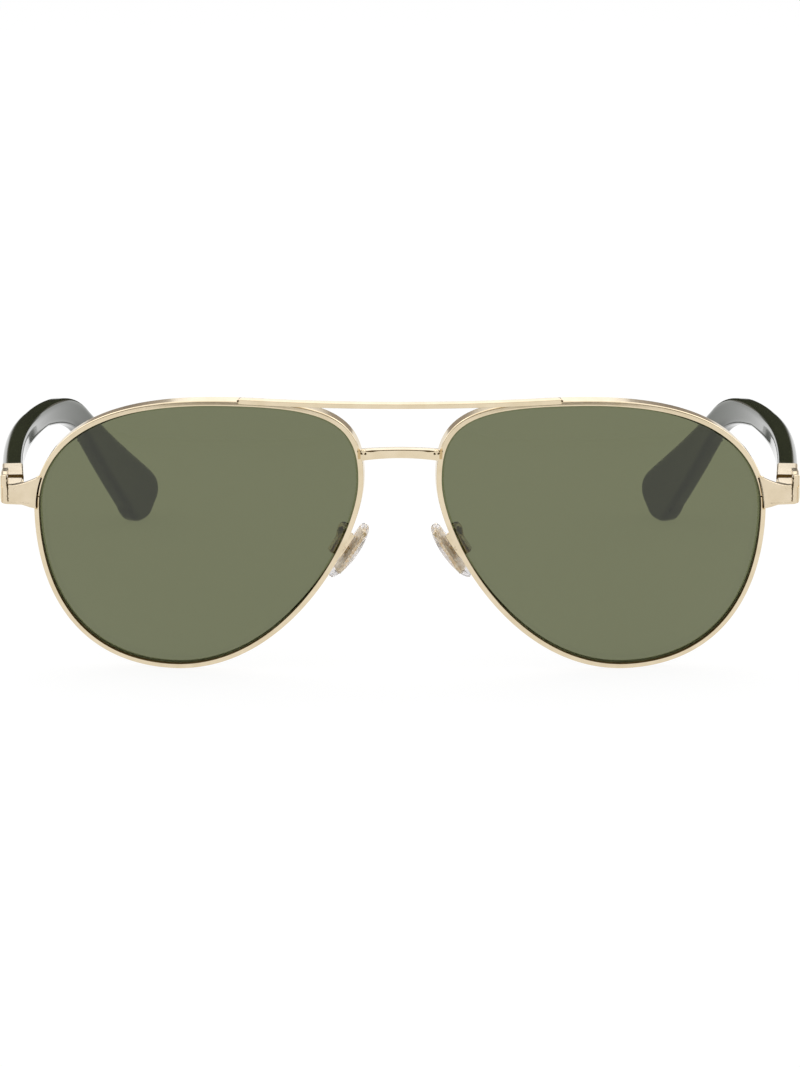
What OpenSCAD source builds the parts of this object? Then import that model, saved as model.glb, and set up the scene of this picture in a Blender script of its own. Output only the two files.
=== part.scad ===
// Metal aviator sunglasses: two grooved eyewires with tinted lenses, a top bar and a lower
// bridge, lapped end-pieces, three-barrel hinges, acetate temples and rocking nose pads.
// Millimetres, +Z up, front toward -Y, temples run back along +Y. "left" is the wearer's
// left (+X). The glasses stand open on the bottoms of the rims and on the temple tips.

/* [Lenses] */
// Lens width over its bevel
lens_w = 58; // [55:0.5:61]
// Lens height over its bevel
lens_h = 49.3; // [47:0.1:52]
// Gap between the lenses, which sets how far apart the rims stand
bridge_w = 14.6; // [14:0.1:15.2]
// Radius of the lens front (about 6 base)
base_r = 88; // [84:1:120]
// Lens thickness
lens_t = 1.8; // [1.4:0.1:1.9]
// Height of the lens tongue that sits in the rim groove
tongue_h = 0.45; // [0.35:0.05:0.5]
// Width of that tongue
tongue_w = 0.5; // [0.4:0.05:0.6]

/* [Rims] */
// Rim width seen from the front
rim_w = 0.85; // [0.8:0.05:1.2]
// Rim depth, front to back
rim_d = 2.3; // [1.9:0.1:2.4]
// Lens front behind the rim front
lens_inset = 0.4; // [0.2:0.05:0.45]
// Saw cut that lets the rim open for the lens
split_gap = 0.25; // [0.2:0.05:0.4]

/* [Front] */
// Turn of each lens toward the temple
wrap = 6; // [4:0.5:8]
// Lean of the front, top forward
panto = 7; // [5:0.5:9]
// Half length of the top bar
bar_half = 28.4; // [26:0.2:30]
// Bow radius of the top bar
bar_r = 150; // [130:5:200]
// Top bar height and depth
bar_h = 0.95; // [0.8:0.05:1.2]
bar_d = 1.5; // [1.3:0.1:1.8]
// Lower bridge height at its middle, and its depth
bridge_h = 1.55; // [1.4:0.05:1.9]
bridge_d = 2; // [1.8:0.1:2.2]

/* [End-pieces and hinges] */
// Temple side of the end-piece block, beyond the edge of the lens
block_x = 1.8; // [1.7:0.05:2]
// Hinge pin position, beyond the edge of the lens and behind the front datum
pin_x = 0.3; // [0.2:0.05:0.4]
pin_y = 13.15; // [13.1:0.05:13.2]
// Barrel radius and pin radius
barrel_r = 0.9; // [0.85:0.05:0.95]
pin_r = 0.45; // [0.4:0.05:0.5]
// Running clearance of the pin in the temple barrel
pin_clear = 0.05; // [0.03:0.01:0.08]
// Length of each of the three barrels
barrel_l = 0.9; // [0.8:0.05:0.95]

/* [Temples] */
// Thickness of the acetate
temple_t = 3.5; // [3:0.1:3.6]
// Height of the arm at the ferrule
temple_h = 4.3; // [4:0.1:4.4]
// Back end of the metal ferrule
ferrule_end = 22.9; // [21:0.1:25]
// Where the arm turns down behind the ear
bend_y = 96; // [92:0.5:98]
// Where the tip touches the table
tip_y = 134; // [132:0.5:135]

/* [Nose pads] */
// Pad length, width and thickness
pad_l = 11.8; // [11:0.2:13]
pad_w = 6.4; // [5.6:0.2:6.8]
pad_t = 2.2; // [2:0.1:2.3]
// Lean of the pad toward the nose, and its opening toward the face
pad_lean = 34; // [30:1:36]
pad_splay = 8; // [6:1:12]

/* [Hidden] */

gold = [0.85, 0.76, 0.6];
green = [0.2, 0.23, 0.15];
tint = [0.35, 0.37, 0.27, 0.8];
clear = [0.92, 0.92, 0.92, 0.6];

// ---- front datum -------------------------------------------------------------------
open_a = lens_w / 2 - tongue_h;             // half width of the rim opening
open_b = lens_h / 2 - tongue_h;             // half height of it
eye_x = (lens_w + bridge_w) / 2;            // lens centre from the middle plane
bot_x = 0.173 * open_a;                     // lowest point of the lens, toward the temple
low_v = open_b + rim_w;
low_sag = (bot_x * bot_x + low_v * low_v) / (2 * base_r);
front_z = low_v * cos(panto) - low_sag * sin(panto);   // puts the rim bottoms on z = 0
deep = 68;                                  // middle of the part, front to back
split_z = front_z + 7.05;                   // saw cut, level with the end-piece

// ---- lens outline: four nodes joined by curves, pushed out by g ----------------------
top_n = [-0.156 * open_a, open_b];
out_n = [open_a, 0.17 * open_b];
bot_n = [bot_x, -open_b];
nose_n = [-open_a, 0.435 * open_b];
edges = [
  [top_n, top_n + [0.85 * (out_n[0] - top_n[0]), 0],
   out_n + [0, 0.36 * (top_n[1] - out_n[1])], out_n],
  [out_n, out_n - [0, 0.38 * (out_n[1] - bot_n[1])],
   bot_n + [0.85 * (out_n[0] - bot_n[0]), 0], bot_n],
  [bot_n, bot_n - [0.59 * (bot_n[0] - nose_n[0]), 0],
   nose_n - [0, 0.3 * (nose_n[1] - bot_n[1])], nose_n],
  [nose_n, nose_n + [0, 0.7 * (top_n[1] - nose_n[1])],
   top_n - [0.81 * (top_n[0] - nose_n[0]), 0], top_n]
];
outline_steps = 24;

function bez(c, t) = pow(1 - t, 3) * c[0] + 3 * pow(1 - t, 2) * t * c[1]
  + 3 * (1 - t) * t * t * c[2] + pow(t, 3) * c[3];
function bez_dir(c, t) = 3 * (1 - t) * (1 - t) * (c[1] - c[0])
  + 6 * (1 - t) * t * (c[2] - c[1]) + 3 * t * t * (c[3] - c[2]);
function curve(c, n) = [for (i = [0:n]) bez(c, i / n)];
function left_of(d) = [-d[1], d[0]] / norm(d);
function outline(g) = [for (c = edges, i = [0:outline_steps - 1])
  let (t = i / outline_steps) bez(c, t) + g * left_of(bez_dir(c, t))];

// a strip of half width h along an open path
function near(p, i) = p[max(0, min(len(p) - 1, i))];
function path_n(p, i) = left_of(near(p, i + 1) - near(p, i - 1));
function strip(p, h) = concat(
  [for (i = [0:len(p) - 1]) p[i] + h * path_n(p, i)],
  [for (i = [len(p) - 1:-1:0]) p[i] - h * path_n(p, i)]);
function arc(c, r, a, b, n) = [for (i = [0:n]) let (w = a + (b - a) * i / n)
  c + r * [cos(w), sin(w)]];

// a point at (u, v) from the lens centre, d behind the sphere of the lens front
function sag(u, v, d) = base_r - sqrt(pow(base_r - d, 2) - u * u - v * v);
function at_eye(u, v, d) = let (
  x = eye_x + u * cos(wrap) - sag(u, v, d) * sin(wrap),
  y = u * sin(wrap) + sag(u, v, d) * cos(wrap))
  [x, y * cos(panto) - v * sin(panto), front_z + y * sin(panto) + v * cos(panto)];

// The end-pieces, hinges and temples go with the outer side of the rim: their x is counted
// from 1.135 beyond this point of it, and their y moves back as far as it does.
rim_side = at_eye(open_a, 7, 0);
edge_x = rim_side[0] + 1.135;
edge_y = rim_side[1] - 7.1;
// The bridge and the nose pads go with its nose side.
nose_y = at_eye(-open_a, 0, 0)[1];

// ---- frames --------------------------------------------------------------------------
module flip() mirror([1, 0, 0]) children();
module place() translate([0, -deep, 0]) children();
module front() translate([0, 0, front_z]) rotate([panto, 0, 0]) children();
module outer() translate([edge_x, edge_y, 0]) children();
module eye() front() translate([eye_x, 0, 0]) rotate([0, 0, wrap]) children();
module pad_frame() translate(pad_at)
  rotate([0, 0, -pad_splay]) rotate([0, -pad_lean, 0]) children();
// profile in (y, z) pushed along +x, and profile in (x, z) pushed back from y0 to y1
module along_x(x0, x1) translate([x0, 0, 0]) rotate([90, 0, 90])
  linear_extrude(height = x1 - x0) children();
module along_y(y0, y1) translate([0, y1, 0]) rotate([90, 0, 0])
  linear_extrude(height = y1 - y0) children();
module block(x, y, z) translate([x[0], y[0], z[0]])
  cube([x[1] - x[0], y[1] - y[0], z[1] - z[0]]);

// ---- rims and lenses -----------------------------------------------------------------
module prism(g) along_y(-6, 14) polygon(outline(g));
module ball(d) translate([0, base_r, 0]) sphere(r = base_r - d, $fn = 240);
module layer(g, d0, d1) difference() {
  intersection() { prism(g); ball(d0); }
  ball(d1);
}
tongue_d = lens_inset + (lens_t - tongue_w) / 2;
module rim_solid() eye() layer(rim_w, 0, rim_d);
module rim() difference() {
  rim_solid();
  eye() prism(0);
  eye() layer(tongue_h, tongue_d, tongue_d + tongue_w);
  block([edge_x - 9, edge_x + 7], [0, 20], [split_z - split_gap / 2, split_z + split_gap / 2]);
}
module lens() eye() union() {
  layer(0, lens_inset, lens_inset + lens_t);
  layer(tongue_h, tongue_d, tongue_d + tongue_w);
}

// ---- top bar and lower bridge ----------------------------------------------------------
bar_v = open_b + 0.45;                       // underside of the bar above the lens centre
bar_y = -0.05;                               // front of the bar at the middle
bar_turn = asin(bar_half / bar_r);
module top_bar() difference() {
  front() translate([0, 0, bar_v]) linear_extrude(height = bar_h)
    polygon(concat(
      arc([0, bar_y + bar_r], bar_r, 270 - bar_turn, 270 + bar_turn, 24),
      arc([0, bar_y + bar_r], bar_r - bar_d, 270 + bar_turn, 270 - bar_turn, 24)));
  rim_solid();
  flip() rim_solid();
  eye() prism(0);
  flip() eye() prism(0);
}

bridge_top = 0.684 * open_b;                 // upper edge of the bridge at the middle
bridge_y = sag(-open_a, bridge_top, 0) * cos(wrap) - open_a * sin(wrap) - 1.5;
bridge_x = bridge_w / 2 - 0.4;               // where the bridge meets the rims
bridge_half = eye_x - open_a;                // past the rims; they cut it to length
bridge_sag = [0.3, 0.52];                    // drop of upper and lower edge at the rims
function bridge_edge(v, s, a, b) = [for (i = [0:12]) let (x = a + (b - a) * i / 12)
  [x, v - s * x * x / (bridge_x * bridge_x)]];
module bridge() difference() {
  front() union() {
    along_y(bridge_y, bridge_y + bridge_d) polygon(concat(
      bridge_edge(bridge_top, bridge_sag[0], -bridge_half, bridge_half),
      bridge_edge(bridge_top - bridge_h, bridge_sag[1], bridge_half, -bridge_half)));
    for (s = [-1, 1]) translate([s * (bridge_x - 0.5), bridge_y + 0.35, bridge_top - 0.45])
      sphere(r = 0.5, $fn = 32);
  }
  eye() prism(rim_w);
  flip() eye() prism(rim_w);
}

// ---- end-pieces --------------------------------------------------------------------------
block_z = [split_z - 1.76, split_z + 1.64];  // underside and top of the hinge block
cheek_z = block_z[1] + 1.3;                  // top of its outer cheek
cheek_t = 0.95;                              // thickness of that cheek
block_wall = 3.35;                           // width of the block beside the temple
block_end = pin_y - 0.2;
block_out = block_x + block_wall;
corner_r = 1.35;                             // outer corner of the plate in plan
end_plan = concat(
  [[-2.1, 6.5], [block_out - corner_r, 7.75]],
  arc([block_out - corner_r, 7.75 + corner_r], corner_r, -80, -4, 6),
  [[block_out + 0.25, block_end], [block_x, block_end], [block_x, 9.3], [1.1, 8.3],
   [-2.1, 7.7]]);
end_face = concat(
  [[-2.5, block_z[0] - 0.7], [-0.4, block_z[0] - 0.4], [1.3, block_z[0]]],
  arc([block_out - 0.65, block_z[0] + 0.9], 0.9, 270, 360, 6),
  [[block_out + 0.45, block_z[1]]],
  curve([[3.3, block_z[1]], [1.5, block_z[1] + 0.2], [-0.1, block_z[1] + 0.9],
         [-1.5, block_z[1] + 1.8]], 6),
  [[-2.5, block_z[1] + 2.1]]);
module end_band() translate([0, 0, block_z[0] - 2]) linear_extrude(height = 8)
  polygon(end_plan);
module end_blank() {
  intersection() {
    end_band();
    along_y(5, 14) polygon(end_face);
  }
  intersection() {
    end_band();
    along_x(block_out - cheek_t, block_out + 1) polygon([
      [7, block_z[0] + 1.3], [block_end, block_z[0] + 1.3], [block_end, cheek_z],
      [10.4, cheek_z - 0.1], [8.9, block_z[1] + 0.7], [7.4, block_z[1]]]);
  }
}
module endpiece() difference() {
  outer() end_blank();
  rim_solid();
  eye() prism(0.42);
}

// closing blocks behind the end-piece, drawn together by a screw
lock_x = [-1.1, 1.2];
lock_y = [8.55, 10.6];
lock_low = [split_z - 1.6, split_z - split_gap / 2];
lock_high = [split_z + split_gap / 2, split_z + 1.2];
lock_at = [0.45, 9.8];
lock_r = 0.45;
module lock(z, r) difference() {
  outer() difference() {
    block(lock_x, lock_y, z);
    end_blank();
    translate([lock_at[0], lock_at[1], 20]) cylinder(r = r, h = 20, $fn = 32);
  }
  rim_solid();
  eye() prism(0);
}
module rim_screw() translate([lock_at[0], lock_at[1], 0]) difference() {
  union() {
    translate([0, 0, lock_low[0] - 0.4]) cylinder(r = 0.68, h = 0.4, $fn = 32);
    translate([0, 0, lock_low[0] - 0.1])
      cylinder(r = lock_r, h = lock_high[1] - lock_low[0], $fn = 32);
  }
  block([-1, 1], [-0.1, 0.1], [lock_low[0] - 0.5, lock_low[0] - 0.2]);
}

// ---- hinges: two barrels on the front, one on the temple, one screw ----------------------
gap = 0.05;                                  // between neighbouring barrels
hinge_z0 = block_z[0] - 0.5;
mid_z0 = hinge_z0 + barrel_l + gap;
top_z0 = mid_z0 + barrel_l + gap;
hinge_z1 = top_z0 + barrel_l;
module barrel(z0, r) difference() {
  translate([pin_x, pin_y, z0]) cylinder(r = barrel_r, h = barrel_l, $fn = 48);
  translate([pin_x, pin_y, z0 - 1]) cylinder(r = r, h = barrel_l + 2, $fn = 48);
}
module pin_hole(r) translate([pin_x, pin_y, 20]) cylinder(r = r, h = 20, $fn = 48);
module front_hinge() difference() {
  union() {
    block([0.95, block_x], [10.6, pin_y - barrel_r - 0.15], [hinge_z0, hinge_z1]);
    for (z = [hinge_z0, top_z0]) {
      translate([pin_x, pin_y, z]) cylinder(r = barrel_r, h = barrel_l, $fn = 48);
      block([pin_x, pin_x + barrel_r], [11.6, pin_y], [z, z + barrel_l]);
    }
  }
  end_blank();
  pin_hole(pin_r);
}
module hinge_screw() translate([pin_x, pin_y, 0]) difference() {
  union() {
    translate([0, 0, hinge_z0]) cylinder(r = pin_r, h = hinge_z1 - hinge_z0 + 0.1, $fn = 48);
    translate([0, 0, hinge_z1]) cylinder(r = 0.75, h = 0.35, $fn = 48);
  }
  block([-1, 1], [-0.1, 0.1], [hinge_z1 + 0.2, hinge_z1 + 1]);
}
module temple_hinge() difference() {
  union() {
    translate([pin_x, pin_y, mid_z0]) cylinder(r = barrel_r, h = barrel_l, $fn = 48);
    block([pin_x, 2.1], [pin_y, 15], [mid_z0, mid_z0 + barrel_l]);
    block([1, 2.5], [14.3, 17.2], [ferrule_z[0] + 0.1, mid_z0 + barrel_l]);
  }
  ferrule_blank();
  pin_hole(pin_r + pin_clear);
}

// ---- temples --------------------------------------------------------------------------------
arm_bow = [[3.25, 12], [10, 80.5], [2.3, 104], [-15.9, 141.5]];   // plan of the arm
arm_plan = curve(arm_bow, 44);
ferrule_y = [pin_y + 0.15, ferrule_end];
ferrule_z = [block_z[0] - 0.3, block_z[1] + 0.7];
ferrule_t = temple_t + 0.1;
arm_z = (ferrule_z[0] + ferrule_z[1]) / 2;
arm_top = arm_z + temple_h / 2;
arm_low = arm_z - temple_h / 2;
bend_z = arm_z + 0.2;                               // top edge where the bend starts
module arm_band(t) linear_extrude(height = 60) polygon(strip(arm_plan, t / 2));
module ferrule_blank() difference() {
  intersection() {
    arm_band(ferrule_t);
    block([-5, 15], ferrule_y, ferrule_z);
  }
  // bevel on the outer front corner
  translate([arm_bow[0][0] + ferrule_t / 2 + 0.15, ferrule_y[0], 28])
    rotate([0, 0, 45]) cube([0.8, 0.8, 12]);
}
tenon_t = 2.3;
tenon_y = [15.4, ferrule_end];
tenon_z = [arm_z - 1.3, arm_z + 1.3];
module tenon() intersection() {
  arm_band(tenon_t);
  block([-5, 15], [tenon_y[0], tenon_y[1] + 1], tenon_z);
}
line_y = [18.3, 18.5];                      // turned line round the sleeve
line_deep = 0.1;
module ferrule() difference() {
  ferrule_blank();
  tenon();
  difference() {
    block([-5, 15], line_y, [ferrule_z[0] - 1, ferrule_z[1] + 1]);
    intersection() {
      arm_band(ferrule_t - 2 * line_deep);
      block([-5, 15], [0, 40], [ferrule_z[0] + line_deep, ferrule_z[1] - line_deep]);
    }
  }
}
arm_side = concat(
  [[ferrule_end, arm_top]],
  curve([[bend_y - 6, bend_z + 0.1], [bend_y + 4, bend_z],
         [bend_y + 7, bend_z - 0.3], [bend_y + 13, bend_z - 4.2]], 10),
  curve([[tip_y + 0.5, 11.5], [tip_y + 4.5, 8.8], [tip_y + 5.8, 7.8], [tip_y + 5.3, 5.2]], 8),
  curve([[tip_y + 5.3, 5.2], [tip_y + 4.6, 1.8], [tip_y + 2.4, 0], [tip_y, 0]], 8),
  curve([[tip_y, 0], [tip_y - 1.6, 0], [tip_y - 2.4, 0.9], [tip_y - 3.8, 2.6]], 6),
  curve([[bend_y + 17, bend_z - 11.6], [bend_y + 11, bend_z - 5.6],
         [bend_y + 5, bend_z - 4], [bend_y - 8, bend_z - 3]], 10),
  [[ferrule_end, arm_low]]);
core_path = concat([[tenon_y[0] + 1, arm_z]],
  curve([[bend_y - 8, bend_z - 1.4], [bend_y + 6, bend_z - 1.8],
         [bend_y + 10, bend_z - 4.2], [bend_y + 24, bend_z - 15.3]], 12),
  [[tip_y - 2, 7.5]]);
module core_wire() intersection() {
  arm_band(1.1);
  along_x(-25, 15) polygon(strip(core_path, 0.6));
}
module temple() difference() {
  union() {
    intersection() { arm_band(temple_t); along_x(-25, 15) polygon(arm_side); }
    intersection() {
      arm_band(tenon_t);
      block([-5, 15], [tenon_y[0], tenon_y[1] + 1], tenon_z);
    }
  }
  core_wire();
}

// ---- nose pads -------------------------------------------------------------------------------
pad_x = bridge_w / 2 + 1.4;
pad_y = nose_y + 6.763;
pad_z = front_z - 3.51;
pad_at = [pad_x, pad_y, pad_z];
pad_back = 0.9;                              // flat back of the pad, away from the nose
pivot_x = 1.9;                               // rocking axis behind the pad
tab_w = 1.2;
tab_r = 0.75;
pad_pin_r = 0.35;
box_x = [1.25, 3.8];
box_w = 2.5;
box_z = [-1.7, 2.9];
dome_r = 11.5;
dome_up = 0.8;                               // thickest part of the pad above its middle
pad_oval = [for (i = [0:39]) let (a = 9 * i, c = cos(a), s = sin(a))
  [pad_w / 2 * sign(c) * pow(abs(c), 0.85), pad_l / 2 * sign(s) * pow(abs(s), 0.85)]];
module insert_shape() {
  block([-0.1, 0.5], [-1.9, 1.9], [-3.3, 3.9]);
  block([0.4, pivot_x], [-tab_w / 2, tab_w / 2], [-tab_r, tab_r]);
  translate([pivot_x, tab_w / 2, 0]) rotate([90, 0, 0])
    cylinder(r = tab_r, h = tab_w, $fn = 40);
}
module nose_pad() pad_frame() difference() {
  intersection() {
    along_x(pad_back - pad_t, pad_back) polygon(pad_oval);
    translate([pad_back - pad_t + dome_r, 0, dome_up]) sphere(r = dome_r, $fn = 160);
  }
  insert_shape();
}
module pad_insert() pad_frame() difference() {
  insert_shape();
  translate([pivot_x, 2, 0]) rotate([90, 0, 0])
    cylinder(r = pad_pin_r + pin_clear, h = 4, $fn = 40);
}
module pad_box() pad_frame() difference() {
  block(box_x, [-box_w / 2, box_w / 2], box_z);
  block([box_x[0] - 1, pivot_x + tab_r + 0.1], [-tab_w / 2 - gap, tab_w / 2 + gap], [-3, 3]);
  translate([pivot_x, 2, 0]) rotate([90, 0, 0]) cylinder(r = pad_pin_r, h = 4, $fn = 40);
}
module pad_screw() pad_frame() difference() {
  translate([pivot_x, box_w / 2 + 0.35, 0]) rotate([90, 0, 0]) union() {
    cylinder(r = 0.6, h = 0.35, $fn = 40);
    cylinder(r = pad_pin_r, h = box_w + 0.35, $fn = 40);
  }
  block([0, 4], [box_w / 2 + 0.2, box_w / 2 + 1], [-0.1, 0.1]);
}
// bent wire from the back of the rim to the box
wire_r = 0.5;
wire_at = bez(edges[2], 0.766) + 0.32 * left_of(bez_dir(edges[2], 0.766));
wire_bow = [at_eye(wire_at[0], wire_at[1], 1.1), pad_at + [0.7, -2, 5.5],
  pad_at + [1.9, 1.5, 6.1], pad_at + [2.2, -0.1, 3.1]];
wire_path = curve(wire_bow, 12);
wire_sides = 12;
function wire_dir(p, i) = let (d = near(p, i + 1) - near(p, i - 1)) d / norm(d);
function ring(c, d, r) = let (
  a = cross(d, [1, 0, 0]), u = a / norm(a), w = cross(d, u))
  [for (k = [0:wire_sides - 1]) let (t = 360 * k / wire_sides)
    c + r * (cos(t) * u + sin(t) * w)];
module wire(p, r) {
  n = len(p);
  m = wire_sides;
  polyhedron(
    points = [for (i = [0:n - 1]) each ring(p[i], wire_dir(p, i), r)],
    faces = concat(
      [[for (k = [0:m - 1]) m - 1 - k]],
      [[for (k = [0:m - 1]) (n - 1) * m + k]],
      [for (i = [0:n - 2], k = [0:m - 1])
        [i * m + k, i * m + (k + 1) % m, (i + 1) * m + (k + 1) % m, (i + 1) * m + k]]));
}
module pad_arm() difference() {
  wire(wire_path, wire_r);
  rim_solid();
  pad_frame() block(box_x, [-box_w / 2, box_w / 2], box_z);
}

// ---- nodes ----------------------------------------------------------------------------------
module left_rim() color(gold) place() rim();
module right_rim() color(gold) place() flip() rim();
module left_lens() color(tint) place() lens();
module right_lens() color(tint) place() flip() lens();
module bridge_node() color(gold) place() bridge();
module top_bar_node() color(gold) place() top_bar();
module left_endpiece() color(gold) place() endpiece();
module right_endpiece() color(gold) place() flip() endpiece();
module left_rim_lock_upper() color(gold) place() lock(lock_high, lock_r);
module right_rim_lock_upper() color(gold) place() flip() lock(lock_high, lock_r);
module left_rim_lock_lower() color(gold) place() lock(lock_low, lock_r);
module right_rim_lock_lower() color(gold) place() flip() lock(lock_low, lock_r);
module left_rim_screw() color(gold) place() outer() rim_screw();
module right_rim_screw() color(gold) place() flip() outer() rim_screw();
module left_front_hinge() color(gold) place() outer() front_hinge();
module right_front_hinge() color(gold) place() flip() outer() front_hinge();
module left_hinge_screw() color(gold) place() outer() hinge_screw();
module right_hinge_screw() color(gold) place() flip() outer() hinge_screw();
module left_pad_arm() color(gold) place() pad_arm();
module right_pad_arm() color(gold) place() flip() pad_arm();
module left_pad_box() color(gold) place() pad_box();
module right_pad_box() color(gold) place() flip() pad_box();
module left_pad_screw() color(gold) place() pad_screw();
module right_pad_screw() color(gold) place() flip() pad_screw();
module left_nose_pad() color(clear) place() nose_pad();
module right_nose_pad() color(clear) place() flip() nose_pad();
module left_pad_insert() color(gold) place() pad_insert();
module right_pad_insert() color(gold) place() flip() pad_insert();
module left_temple_hinge() color(gold) place() outer() temple_hinge();
module right_temple_hinge() color(gold) place() flip() outer() temple_hinge();
module left_ferrule() color(gold) place() outer() ferrule();
module right_ferrule() color(gold) place() flip() outer() ferrule();
module left_temple() color(green) place() outer() temple();
module right_temple() color(green) place() flip() outer() temple();
module left_core_wire() color(gold) place() outer() core_wire();
module right_core_wire() color(gold) place() flip() outer() core_wire();

left_rim();
right_rim();
left_lens();
right_lens();
bridge_node();  // bridge
top_bar_node();  // top_bar
left_endpiece();
right_endpiece();
left_rim_lock_upper();
right_rim_lock_upper();
left_rim_lock_lower();
right_rim_lock_lower();
left_rim_screw();
right_rim_screw();
left_front_hinge();
right_front_hinge();
left_hinge_screw();
right_hinge_screw();
left_pad_arm();
right_pad_arm();
left_pad_box();
right_pad_box();
left_pad_screw();
right_pad_screw();
left_nose_pad();
right_nose_pad();
left_pad_insert();
right_pad_insert();
left_temple_hinge();
right_temple_hinge();
left_ferrule();
right_ferrule();
left_temple();
right_temple();
left_core_wire();
right_core_wire();
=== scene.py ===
"""Looks for the metal aviator sunglasses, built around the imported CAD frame.

Lengths in the code are millimetres in the shared frame (+X the wearer's left, front toward -Y,
+Z up) and become metres when a mesh is made. Shapes are made for the left side and mirrored.
"""
import math

import bmesh
import bpy
from mathutils import Matrix, Vector, noise

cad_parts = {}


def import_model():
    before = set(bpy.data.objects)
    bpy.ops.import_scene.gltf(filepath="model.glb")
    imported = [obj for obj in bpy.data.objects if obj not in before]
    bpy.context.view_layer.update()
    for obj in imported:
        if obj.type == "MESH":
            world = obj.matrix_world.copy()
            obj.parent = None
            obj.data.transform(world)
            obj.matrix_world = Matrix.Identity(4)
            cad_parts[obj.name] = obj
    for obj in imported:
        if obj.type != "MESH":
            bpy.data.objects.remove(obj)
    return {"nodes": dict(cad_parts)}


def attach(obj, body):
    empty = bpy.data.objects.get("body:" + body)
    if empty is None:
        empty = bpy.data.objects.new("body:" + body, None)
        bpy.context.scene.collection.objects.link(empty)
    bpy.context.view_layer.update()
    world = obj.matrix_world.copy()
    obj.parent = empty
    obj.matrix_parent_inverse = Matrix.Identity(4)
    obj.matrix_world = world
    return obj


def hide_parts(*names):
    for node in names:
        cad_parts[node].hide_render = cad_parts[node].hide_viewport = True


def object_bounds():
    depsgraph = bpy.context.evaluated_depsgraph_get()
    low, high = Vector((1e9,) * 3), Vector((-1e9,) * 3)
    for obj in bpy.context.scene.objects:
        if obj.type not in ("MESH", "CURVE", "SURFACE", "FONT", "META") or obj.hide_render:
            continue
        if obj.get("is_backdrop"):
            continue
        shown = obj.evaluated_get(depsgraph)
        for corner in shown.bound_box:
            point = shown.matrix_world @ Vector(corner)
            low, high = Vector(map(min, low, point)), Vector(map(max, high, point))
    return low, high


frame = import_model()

cad_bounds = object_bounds()
MM = 0.001

# ---- sizes -------------------------------------------------------------------------------
# Most are those of the part's source. The lens, the rim, the pads and the temple's thickness
# and bend differ from it by small amounts, to follow the photo's outlines more closely.
DEEP = 68.0                           # frame y = y behind the front datum - DEEP
LENS_W, LENS_H = 57.6, 49.3           # lens with its tongue
LENS_T, LENS_INSET = 1.5, 0.7         # thickness, and how far behind the rim's front it sits
BRIDGE_W = 14.6                       # gap between the lenses
BASE_R = 88.0                         # sphere through the front of each rim
TONGUE_H, TONGUE_W = 0.45, 0.5        # lip round the lens that lies in the rim's groove
SEAT_PLAY = 0.02                      # between that lip and the groove
RIM_W, RIM_D = 0.92, 2.3              # section of the rim's wire
CAD_RIM_W = 0.85                      # the wire's width in the part's source, for FRONT_Z
SPLIT_GAP, SPLIT_UP = 0.25, 7.05      # saw cut in the rim, and its height over the lens centre
WRAP, PANTO = math.radians(6), math.radians(7)      # turn of each lens and tilt of the front
OPEN_A = LENS_W / 2 - TONGUE_H        # half width and half height of the rim's opening
OPEN_B = LENS_H / 2 - TONGUE_H
EYE_X = (LENS_W + BRIDGE_W) / 2
TONGUE_D = LENS_INSET + (LENS_T - TONGUE_W) / 2
BOT_X = 0.173 * OPEN_A                # the opening's lowest point
LOW_V = OPEN_B + CAD_RIM_W
LOW_SAG = (BOT_X ** 2 + LOW_V ** 2) / (2 * BASE_R)
FRONT_Z = LOW_V * math.cos(PANTO) - LOW_SAG * math.sin(PANTO)      # rims stand on z = 0
SPLIT_Z = FRONT_Z + SPLIT_UP
BAR_HALF, BAR_R = 28.4, 150.0         # top bar: half its width and its plan curve
BAR_H, BAR_D, BAR_Y, BAR_V = 0.95, 1.5, -0.05, OPEN_B + 0.45
BRIDGE_HALF, BRIDGE_H, BRIDGE_D = 6.9, 1.55, 2.0
BRIDGE_Y, BRIDGE_TOP = 1.9, 0.684 * OPEN_B
PIN_Y = 13.15                         # hinge pin
FERRULE_Y, FERRULE_LOW = (PIN_Y + 0.15, 22.9), 29.4
TEMPLE_T, TEMPLE_H, ARM_Z = 3.65, 4.3, 31.6         # thickness, height, height of its middle
BEND_Y, BEND_Z, TIP_Y = 98.0, 31.9, 134.0
PAD_AT, PAD_LEAN, PAD_SPLAY = Vector((8.7, 8.5, 20.9)), math.radians(34), math.radians(8)
PAD_L, PAD_W, PAD_T, PAD_BACK = 11.3, 6.0, 1.7, 0.9
DOME_R, DOME_UP = 16.0, 0.8           # the pad's skin side
WIRE_R = 0.5                          # pad arm


# ---- small geometry helpers --------------------------------------------------------------
def bezier(c, t):
    c = [Vector(p) for p in c]
    return ((1 - t) ** 3 * c[0] + 3 * (1 - t) ** 2 * t * c[1]
            + 3 * (1 - t) * t * t * c[2] + t ** 3 * c[3])


def bezier_dir(c, t):
    c = [Vector(p) for p in c]
    return (3 * (1 - t) ** 2 * (c[1] - c[0]) + 6 * (1 - t) * t * (c[2] - c[1])
            + 3 * t * t * (c[3] - c[2]))


def chain(c, n):
    """A Bezier curve as n + 1 points."""
    return [bezier(c, i / n) for i in range(n + 1)]


def interpolate(points, x):
    """The second value at x on a line through (x, value) points, held beyond its ends."""
    for (x0, z0), (x1, z1) in zip(points, points[1:]):
        if x0 <= x <= x1:
            return z0 + (z1 - z0) * (x - x0) / (x1 - x0)
    return points[0][1] if x < points[0][0] else points[-1][1]


def left_of(d):
    return Vector((-d[1], d[0])).normalized()


def turns(n):
    """n even angles, once round."""
    return [2 * math.pi * k / n for k in range(n)]


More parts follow.
